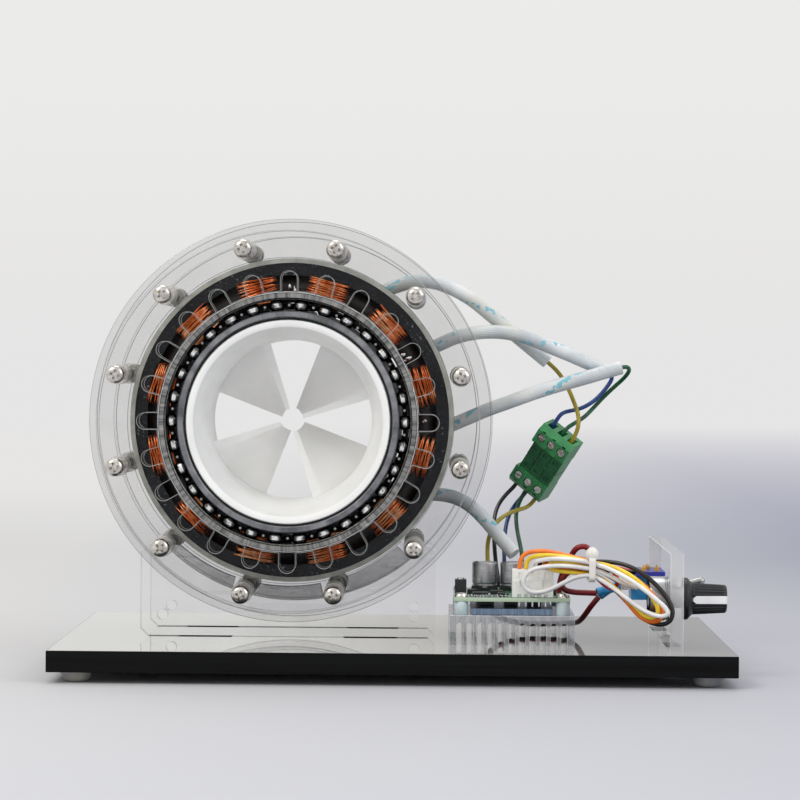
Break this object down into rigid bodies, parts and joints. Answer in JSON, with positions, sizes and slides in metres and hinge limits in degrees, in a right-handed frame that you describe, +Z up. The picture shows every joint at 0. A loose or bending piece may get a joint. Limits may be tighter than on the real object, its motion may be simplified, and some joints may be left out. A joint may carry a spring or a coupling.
{
  "type": "demonstration electric motor",
  "caption": "Hollow-shaft brushless demonstration motor in clear acrylic plates, with its speed controller and control panel on a black base.",
  "frame": {"origin": "on the table under the middle of the base", "axes": "+X to the right along the base's length, +Y to the back, +Z up; the rotor turns about +Y"},
  "size_m": [0.254, 0.15, 0.1742],
  "materials": {
    "black_base": "gloss",
    "rubber_feet": "matt",
    "clear_acrylic": "clear",
    "housing_acrylic": "clear",
    "riser_acrylic": "frosted",
    "nylon": "satin",
    "zinc_screws": "bright",
    "winding_core": "satin",
    "copper_wire": "enamelled",
    "bearing_steel": "polished",
    "cage_steel": "satin",
    "printed_white": "printed",
    "dark_steel": "blackened",
    "magnet": "nickel",
    "spreader_aluminium": "anodised",
    "chip_black": "moulded",
    "green_board": "varnished",
    "can_aluminium": "bright",
    "switch_metal": "satin",
    "switch_blue": "moulded",
    "knob_black": "moulded",
    "pointer_white": "moulded",
    "terminal_green": "moulded",
    "glass_sleeve": "varnished braid",
    "wire_jacket": "coloured",
    "silicone_red": "satin",
    "shrink_blue": "satin"
  },
  "bodies": {
    "stand": {"base_plate": "black_base", "rubber_feet": "rubber_feet", "front_stand_plate": "clear_acrylic", "rear_stand_plate": "clear_acrylic", "front_bearing_plate": "clear_acrylic", "rear_bearing_plate": "clear_acrylic", "control_panel": "clear_acrylic", "stator_housing_ring": "housing_acrylic", "controller_riser": "riser_acrylic", "front_spacers": "nylon", "rear_spacers": "nylon", "board_spacers": "nylon", "cable_tie": "nylon", "header_socket": "nylon", "header_plug": "nylon", "housing_screws": "zinc_screws", "housing_nuts": "zinc_screws", "board_screws": "zinc_screws", "terminal_screws": "zinc_screws", "stator_core": "winding_core", "front_winding_cap": "winding_core", "rear_winding_cap": "winding_core", "stator_coils": "copper_wire", "front_bearing_outer_ring": "bearing_steel", "rear_bearing_outer_ring": "bearing_steel", "heat_spreader": "spreader_aluminium", "power_transistors": "chip_black", "controller_chips": "chip_black", "controller_board": "green_board", "capacitors": "can_aluminium", "potentiometer": "switch_metal", "panel_nuts": "switch_metal", "toggle_switch": "switch_blue", "switch_board": "switch_blue", "terminal_plug": "terminal_green", "terminal_socket": "terminal_green", "lead_sleeve_top": "glass_sleeve", "lead_sleeve_upper": "glass_sleeve", "lead_sleeve_middle": "glass_sleeve", "lead_sleeve_lower": "glass_sleeve", "motor_wires": "wire_jacket", "board_wires": "wire_jacket", "harness_wires": "wire_jacket", "power_leads": "silicone_red", "heat_shrinks": "shrink_blue"},
    "rotor": {"fan_rotor": "printed_white", "rotor_tube": "dark_steel", "rotor_core": "dark_steel", "rotor_magnets": "magnet", "front_bearing_inner_ring": "bearing_steel", "rear_bearing_inner_ring": "bearing_steel"},
    "front_ball_set": {"front_bearing_balls": "bearing_steel", "front_bearing_cage": "cage_steel"},
    "rear_ball_set": {"rear_bearing_balls": "bearing_steel", "rear_bearing_cage": "cage_steel"},
    "knob": {"control_knob": "knob_black", "knob_pointer": "pointer_white", "knob_shaft": "switch_metal"},
    "lever": {"toggle_lever": "switch_metal"}
  },
  "joints": [
    {"name": "rotor_spin", "type": "hinge", "parent": "stand", "child": "rotor", "pos_m": [-0.041, 0, 0.0954], "axis": [0, 1, 0], "continuous": true},
    {"name": "front_balls_spin", "type": "hinge", "parent": "stand", "child": "front_ball_set", "pos_m": [-0.041, -0.026, 0.0954], "axis": [0, 1, 0], "continuous": true},
    {"name": "rear_balls_spin", "type": "hinge", "parent": "stand", "child": "rear_ball_set", "pos_m": [-0.041, 0.033, 0.0954], "axis": [0, 1, 0], "continuous": true},
    {"name": "knob_turn", "type": "hinge", "parent": "stand", "child": "knob", "pos_m": [0.11, -0.045, 0.0305], "axis": [1, 0, 0], "range_deg": [-240, 60]},
    {"name": "toggle_tilt", "type": "hinge", "parent": "stand", "child": "lever", "pos_m": [0.1081, -0.02, 0.033], "axis": [0, 1, 0], "range_deg": [0, 24]}
  ],
  "couplings": [
    {"joint": "front_balls_spin", "follows": "rotor_spin", "ratio": 0.46648},
    {"joint": "rear_balls_spin", "follows": "rotor_spin", "ratio": 0.46648}
  ]
}
